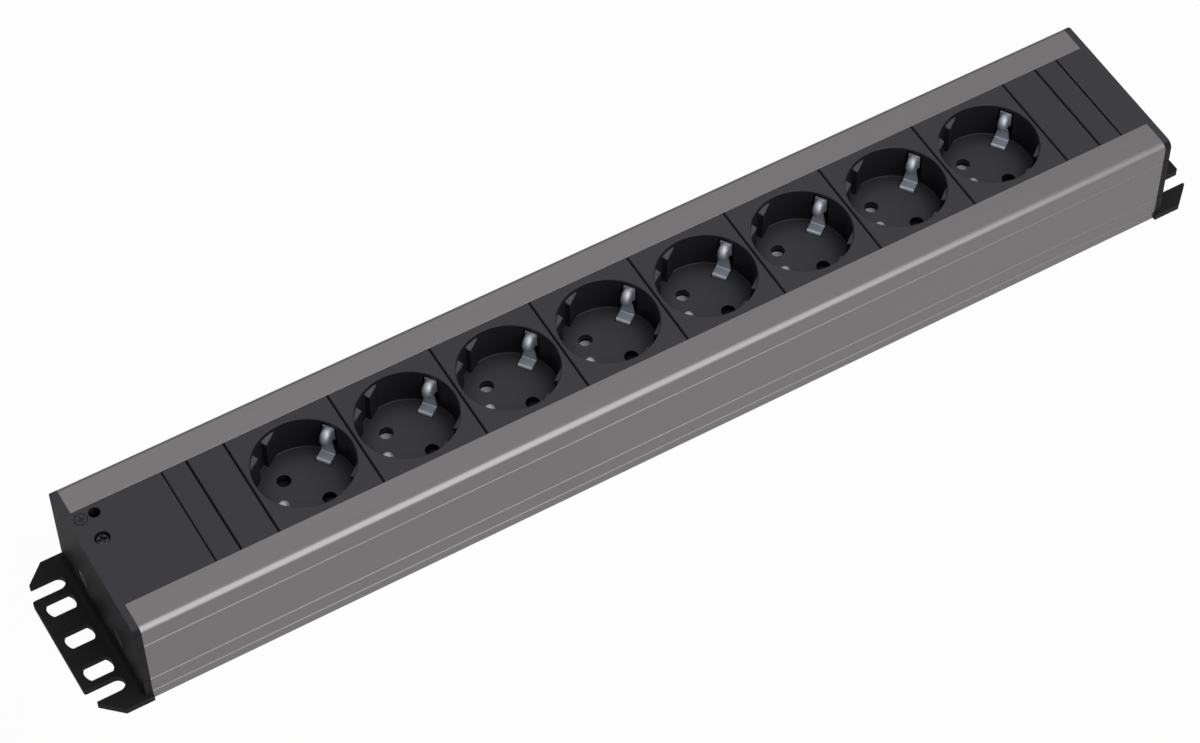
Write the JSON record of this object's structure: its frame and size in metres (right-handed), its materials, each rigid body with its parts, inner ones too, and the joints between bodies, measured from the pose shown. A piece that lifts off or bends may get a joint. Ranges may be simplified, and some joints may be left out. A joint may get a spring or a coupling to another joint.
{
  "type": "rack power distribution unit",
  "caption": "Long box profile with a row of round earthed sockets in its top face and a slotted rack ear at each end.",
  "frame": {"origin": "middle of the underside, in the plane of the ears' back faces", "axes": "+X along the unit towards the end with the short tongue, -Y the long side seen in the picture, +Z out of the socket faces"},
  "size_m": [0.4826, 0.0736, 0.0445],
  "materials": {
    "anodised_aluminium": "satin anodised, grey",
    "black_moulding": "moulded, fine grain",
    "insert_plastic": "moulded, satin",
    "nickel_spring": "nickel-plated spring strip",
    "grey_plastic": "moulded",
    "carrier_plastic": "moulded",
    "brass": "stamped",
    "zinc_steel": "zinc plated",
    "black_steel": "blackened"
  },
  "bodies": {
    "unit": {"housing_profile": "anodised_aluminium", "end_bracket_left": "black_moulding", "end_bracket_right": "black_moulding", "bracket_screws_left": "black_steel", "bracket_screws_right": "black_steel", "cover_plate_1": "insert_plastic", "cover_plate_2": "insert_plastic", "cover_plate_3": "insert_plastic", "cover_plate_4": "insert_plastic", "socket_1": "insert_plastic", "contact_carrier_1": "carrier_plastic", "socket_2": "insert_plastic", "contact_carrier_2": "carrier_plastic", "socket_3": "insert_plastic", "contact_carrier_3": "carrier_plastic", "socket_4": "insert_plastic", "contact_carrier_4": "carrier_plastic", "socket_5": "insert_plastic", "contact_carrier_5": "carrier_plastic", "socket_6": "insert_plastic", "contact_carrier_6": "carrier_plastic", "socket_7": "insert_plastic", "contact_carrier_7": "carrier_plastic", "socket_8": "insert_plastic", "contact_carrier_8": "carrier_plastic", "live_rail": "brass", "neutral_rail": "brass", "earth_rail": "brass", "rail_tray": "carrier_plastic", "terminal_block": "carrier_plastic", "terminal_screws": "zinc_steel", "cord_inlet_bush": "black_moulding", "earth_plate": "nickel_spring", "earth_screw": "black_steel"},
    "earth_clip_1a": {"earth_clip_1a": "nickel_spring"},
    "earth_clip_1b": {"earth_clip_1b": "nickel_spring"},
    "shutter_1": {"shutter_1": "grey_plastic"},
    "earth_clip_2a": {"earth_clip_2a": "nickel_spring"},
    "earth_clip_2b": {"earth_clip_2b": "nickel_spring"},
    "shutter_2": {"shutter_2": "grey_plastic"},
    "earth_clip_3a": {"earth_clip_3a": "nickel_spring"},
    "earth_clip_3b": {"earth_clip_3b": "nickel_spring"},
    "shutter_3": {"shutter_3": "grey_plastic"},
    "earth_clip_4a": {"earth_clip_4a": "nickel_spring"},
    "earth_clip_4b": {"earth_clip_4b": "nickel_spring"},
    "shutter_4": {"shutter_4": "grey_plastic"},
    "earth_clip_5a": {"earth_clip_5a": "nickel_spring"},
    "earth_clip_5b": {"earth_clip_5b": "nickel_spring"},
    "shutter_5": {"shutter_5": "grey_plastic"},
    "earth_clip_6a": {"earth_clip_6a": "nickel_spring"},
    "earth_clip_6b": {"earth_clip_6b": "nickel_spring"},
    "shutter_6": {"shutter_6": "grey_plastic"},
    "earth_clip_7a": {"earth_clip_7a": "nickel_spring"},
    "earth_clip_7b": {"earth_clip_7b": "nickel_spring"},
    "shutter_7": {"shutter_7": "grey_plastic"},
    "earth_clip_8a": {"earth_clip_8a": "nickel_spring"},
    "earth_clip_8b": {"earth_clip_8b": "nickel_spring"},
    "shutter_8": {"shutter_8": "grey_plastic"}
  },
  "joints": [
    {"name": "earth_clip_1a_flex", "type": "hinge", "parent": "unit", "child": "earth_clip_1a", "pos_m": [-0.12253, 0.0107, 0.02795], "axis": [-0.5878, 0.809, 0], "range_deg": [0, 7], "stiffness_Nm_per_rad": 0.6, "springref_deg": -1.15},
    {"name": "earth_clip_1b_flex", "type": "hinge", "parent": "unit", "child": "earth_clip_1b", "pos_m": [-0.15197, -0.0107, 0.02795], "axis": [0.5878, -0.809, 0], "range_deg": [0, 7], "stiffness_Nm_per_rad": 0.6, "springref_deg": -1.15},
    {"name": "shutter_1_turn", "type": "hinge", "parent": "unit", "child": "shutter_1", "pos_m": [-0.13725, 0, 0.0225], "axis": [0, 0, 1], "range_deg": [0, 36], "stiffness_Nm_per_rad": 0.01, "springref_deg": -5.73},
    {"name": "earth_clip_2a_flex", "type": "hinge", "parent": "unit", "child": "earth_clip_2a", "pos_m": [-0.07983, 0.0107, 0.02795], "axis": [-0.5878, 0.809, 0], "range_deg": [0, 7], "stiffness_Nm_per_rad": 0.6, "springref_deg": -1.15},
    {"name": "earth_clip_2b_flex", "type": "hinge", "parent": "unit", "child": "earth_clip_2b", "pos_m": [-0.10927, -0.0107, 0.02795], "axis": [0.5878, -0.809, 0], "range_deg": [0, 7], "stiffness_Nm_per_rad": 0.6, "springref_deg": -1.15},
    {"name": "shutter_2_turn", "type": "hinge", "parent": "unit", "child": "shutter_2", "pos_m": [-0.09455, 0, 0.0225], "axis": [0, 0, 1], "range_deg": [0, 36], "stiffness_Nm_per_rad": 0.01, "springref_deg": -5.73},
    {"name": "earth_clip_3a_flex", "type": "hinge", "parent": "unit", "child": "earth_clip_3a", "pos_m": [-0.03713, 0.0107, 0.02795], "axis": [-0.5878, 0.809, 0], "range_deg": [0, 7], "stiffness_Nm_per_rad": 0.6, "springref_deg": -1.15},
    {"name": "earth_clip_3b_flex", "type": "hinge", "parent": "unit", "child": "earth_clip_3b", "pos_m": [-0.06657, -0.0107, 0.02795], "axis": [0.5878, -0.809, 0], "range_deg": [0, 7], "stiffness_Nm_per_rad": 0.6, "springref_deg": -1.15},
    {"name": "shutter_3_turn", "type": "hinge", "parent": "unit", "child": "shutter_3", "pos_m": [-0.05185, 0, 0.0225], "axis": [0, 0, 1], "range_deg": [0, 36], "stiffness_Nm_per_rad": 0.01, "springref_deg": -5.73},
    {"name": "earth_clip_4a_flex", "type": "hinge", "parent": "unit", "child": "earth_clip_4a", "pos_m": [0.00557, 0.0107, 0.02795], "axis": [-0.5878, 0.809, 0], "range_deg": [0, 7], "stiffness_Nm_per_rad": 0.6, "springref_deg": -1.15},
    {"name": "earth_clip_4b_flex", "type": "hinge", "parent": "unit", "child": "earth_clip_4b", "pos_m": [-0.02387, -0.0107, 0.02795], "axis": [0.5878, -0.809, 0], "range_deg": [0, 7], "stiffness_Nm_per_rad": 0.6, "springref_deg": -1.15},
    {"name": "shutter_4_turn", "type": "hinge", "parent": "unit", "child": "shutter_4", "pos_m": [-0.00915, 0, 0.0225], "axis": [0, 0, 1], "range_deg": [0, 36], "stiffness_Nm_per_rad": 0.01, "springref_deg": -5.73},
    {"name": "earth_clip_5a_flex", "type": "hinge", "parent": "unit", "child": "earth_clip_5a", "pos_m": [0.04827, 0.0107, 0.02795], "axis": [-0.5878, 0.809, 0], "range_deg": [0, 7], "stiffness_Nm_per_rad": 0.6, "springref_deg": -1.15},
    {"name": "earth_clip_5b_flex", "type": "hinge", "parent": "unit", "child": "earth_clip_5b", "pos_m": [0.01883, -0.0107, 0.02795], "axis": [0.5878, -0.809, 0], "range_deg": [0, 7], "stiffness_Nm_per_rad": 0.6, "springref_deg": -1.15},
    {"name": "shutter_5_turn", "type": "hinge", "parent": "unit", "child": "shutter_5", "pos_m": [0.03355, 0, 0.0225], "axis": [0, 0, 1], "range_deg": [0, 36], "stiffness_Nm_per_rad": 0.01, "springref_deg": -5.73},
    {"name": "earth_clip_6a_flex", "type": "hinge", "parent": "unit", "child": "earth_clip_6a", "pos_m": [0.09097, 0.0107, 0.02795], "axis": [-0.5878, 0.809, 0], "range_deg": [0, 7], "stiffness_Nm_per_rad": 0.6, "springref_deg": -1.15},
    {"name": "earth_clip_6b_flex", "type": "hinge", "parent": "unit", "child": "earth_clip_6b", "pos_m": [0.06153, -0.0107, 0.02795], "axis": [0.5878, -0.809, 0], "range_deg": [0, 7], "stiffness_Nm_per_rad": 0.6, "springref_deg": -1.15},
    {"name": "shutter_6_turn", "type": "hinge", "parent": "unit", "child": "shutter_6", "pos_m": [0.07625, 0, 0.0225], "axis": [0, 0, 1], "range_deg": [0, 36], "stiffness_Nm_per_rad": 0.01, "springref_deg": -5.73},
    {"name": "earth_clip_7a_flex", "type": "hinge", "parent": "unit", "child": "earth_clip_7a", "pos_m": [0.13367, 0.0107, 0.02795], "axis": [-0.5878, 0.809, 0], "range_deg": [0, 7], "stiffness_Nm_per_rad": 0.6, "springref_deg": -1.15},
    {"name": "earth_clip_7b_flex", "type": "hinge", "parent": "unit", "child": "earth_clip_7b", "pos_m": [0.10423, -0.0107, 0.02795], "axis": [0.5878, -0.809, 0], "range_deg": [0, 7], "stiffness_Nm_per_rad": 0.6, "springref_deg": -1.15},
    {"name": "shutter_7_turn", "type": "hinge", "parent": "unit", "child": "shutter_7", "pos_m": [0.11895, 0, 0.0225], "axis": [0, 0, 1], "range_deg": [0, 36], "stiffness_Nm_per_rad": 0.01, "springref_deg": -5.73},
    {"name": "earth_clip_8a_flex", "type": "hinge", "parent": "unit", "child": "earth_clip_8a", "pos_m": [0.17637, 0.0107, 0.02795], "axis": [-0.5878, 0.809, 0], "range_deg": [0, 7], "stiffness_Nm_per_rad": 0.6, "springref_deg": -1.15},
    {"name": "earth_clip_8b_flex", "type": "hinge", "parent": "unit", "child": "earth_clip_8b", "pos_m": [0.14693, -0.0107, 0.02795], "axis": [0.5878, -0.809, 0], "range_deg": [0, 7], "stiffness_Nm_per_rad": 0.6, "springref_deg": -1.15},
    {"name": "shutter_8_turn", "type": "hinge", "parent": "unit", "child": "shutter_8", "pos_m": [0.16165, 0, 0.0225], "axis": [0, 0, 1], "range_deg": [0, 36], "stiffness_Nm_per_rad": 0.01, "springref_deg": -5.73}
  ]
}
